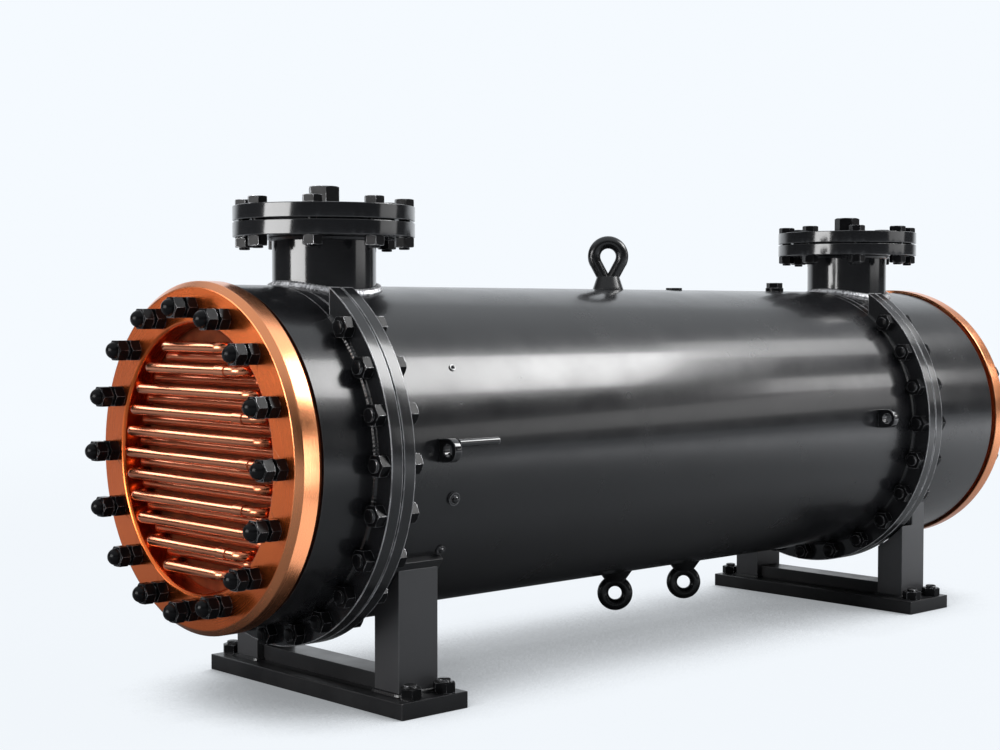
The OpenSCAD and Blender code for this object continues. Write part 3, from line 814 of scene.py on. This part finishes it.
def area_light(name, place, aim, size, watts, receivers):
    """A soft rectangular lamp, unseen by the camera. It lights its receivers, or everything."""
    data = bpy.data.lights.new(name, "AREA")
    data.shape = "RECTANGLE"
    data.size, data.size_y = size
    data.energy = watts
    obj = bpy.data.objects.new(name, data)
    obj.location = place
    obj.rotation_euler = (Vector(aim) - Vector(place)).to_track_quat("-Z", "Y").to_euler()
    obj.visible_camera = False
    bpy.context.scene.collection.objects.link(obj)
    if receivers:
        group = bpy.data.collections.new(f"lit_by_{name}")
        for receiver in receivers:
            group.objects.link(receiver)
        obj.light_linking.receiver_collection = group


def lamps():
    """Places all the lamps."""
    groups = {
        None: (),
        "object": [*NODES.values(), *PIECES],
        "rings": [obj for name, obj in NODES.items() if "end_ring" in name],
        "tubes": [obj for name, obj in NODES.items() if "tube" in name],
    }
    for name, place, aim, size, watts, lit in LAMPS:
        area_light(name, place, aim, size, watts, groups[lit])


def floor_material():
    """A pale floor that fades into the background; a painted shadow from ambient occlusion darkens
    its glow near the object, and in reflections it is dim, with painted shade under and near the
    object.
    """
    g = new_graph("studio_floor")
    path = g.add("ShaderNodeLightPath").outputs
    far = g.length(g.place)
    open_sky = g.add("ShaderNodeAmbientOcclusion", {"Distance": SHADE_REACH},
                     samples=SHADE_SAMPLES).outputs["AO"]
    shade = g.remap(open_sky, SHADE_FROM, SHADE_TO, SHADE_DARK, 1.0)
    glow = g.math("MULTIPLY", path["Is Camera Ray"], g.math("MULTIPLY", shade, FLOOR_GLOW))
    tone = g.mix(path["Is Camera Ray"], FLOOR, FLOOR_SEEN)
    near = g.add("ShaderNodeBsdfPrincipled", {"Base Color": tone, "Roughness": FLOOR_ROUGH,
                                               "Specular IOR Level": 0.0, "Emission Color": WHITE,
                                               "Emission Strength": glow})
    white = g.add("ShaderNodeEmission", {"Color": WHITE})
    fade = g.remap(far, FADE_FROM, FADE_TO, ease="SMOOTHSTEP")
    pale = g.add("ShaderNodeMixShader", {0: fade, 1: near.outputs[0], 2: white.outputs[0]})
    mirrored = g.mix(g.remap(far, MIRRORED_FROM, MIRRORED_TO), MIRRORED_NEAR, MIRRORED_FAR)
    under = g.remap(open_sky, MIRRORED_SHADE_FROM, MIRRORED_SHADE_TO, MIRRORED_SHADE_DARK, 1.0)
    dim = g.add("ShaderNodeBsdfDiffuse", {"Color": g.mix(under, MIRRORED_UNDER, mirrored)})
    g.surface(g.add("ShaderNodeMixShader", {0: path["Is Glossy Ray"], 1: pale.outputs[0],
                                             2: dim.outputs[0]}))
    return g.owner


def floor():
    """The plain floor, one large square."""
    bm = bmesh.new()
    bmesh.ops.create_grid(bm, x_segments=1, y_segments=1, size=FLOOR_HALF)
    mesh = bpy.data.meshes.new("studio_floor")
    bm.to_mesh(mesh)
    bm.free()
    obj = bpy.data.objects.new("studio_floor", mesh)
    obj.data.materials.append(floor_material())
    bpy.context.scene.collection.objects.link(obj)


def world():
    """White to the camera, and the dim room to everything else."""
    scene = bpy.context.scene
    scene.world = bpy.data.worlds.new("studio")
    g = Graph(scene.world, coordinates="Generated")
    yaw = math.radians(CAMERA_YAW)
    away = g.dot(g.place, (math.cos(yaw), math.sin(yaw), 0.0))
    wall = g.remap(away, WALL_FROM, WALL_TO, 0.0, ROOM_WALL, ease="SMOOTHSTEP")
    ceiling = g.remap(g.split(g.place)["Z"], CEILING_FROM, CEILING_TO, ROOM_LOW, ROOM_HIGH,
                      ease="SMOOTHSTEP")
    level = g.math("MAXIMUM", wall, ceiling)
    room = g.add("ShaderNodeBackground", {"Color": ROOM_COLOUR, "Strength": level})
    seen = g.add("ShaderNodeBackground", {"Color": WHITE})
    path = g.add("ShaderNodeLightPath").outputs
    mixed = g.add("ShaderNodeMixShader", {0: path["Is Camera Ray"], 1: room.outputs[0],
                                           2: seen.outputs[0]})
    g.surface(mixed, output="ShaderNodeOutputWorld")


def camera():
    """The camera at the photograph's place and angle."""
    data = bpy.data.cameras.new("camera")
    data.sensor_width = SENSOR_MM
    data.lens = FOCAL_PX * SENSOR_MM / FRAME_W
    obj = bpy.data.objects.new("camera", data)
    obj.location = CAMERA_PLACE
    obj.rotation_euler = (math.radians(90 + CAMERA_PITCH), 0, math.radians(CAMERA_YAW - 90))
    bpy.context.scene.collection.objects.link(obj)
    bpy.context.scene.camera = obj


def studio():
    """Floor, world, lamps and plain colour management."""
    floor()
    world()
    lamps()
    bpy.context.scene.view_settings.view_transform = "Standard"


camera()
dress_nodes()
for end_name in ENDS:
    end_studs(end_name)
    girth_bolts(end_name)
    nozzle_bolts(end_name)
nozzle_plugs()
anchor_bolts()
welds()
plate_welds()
studio()
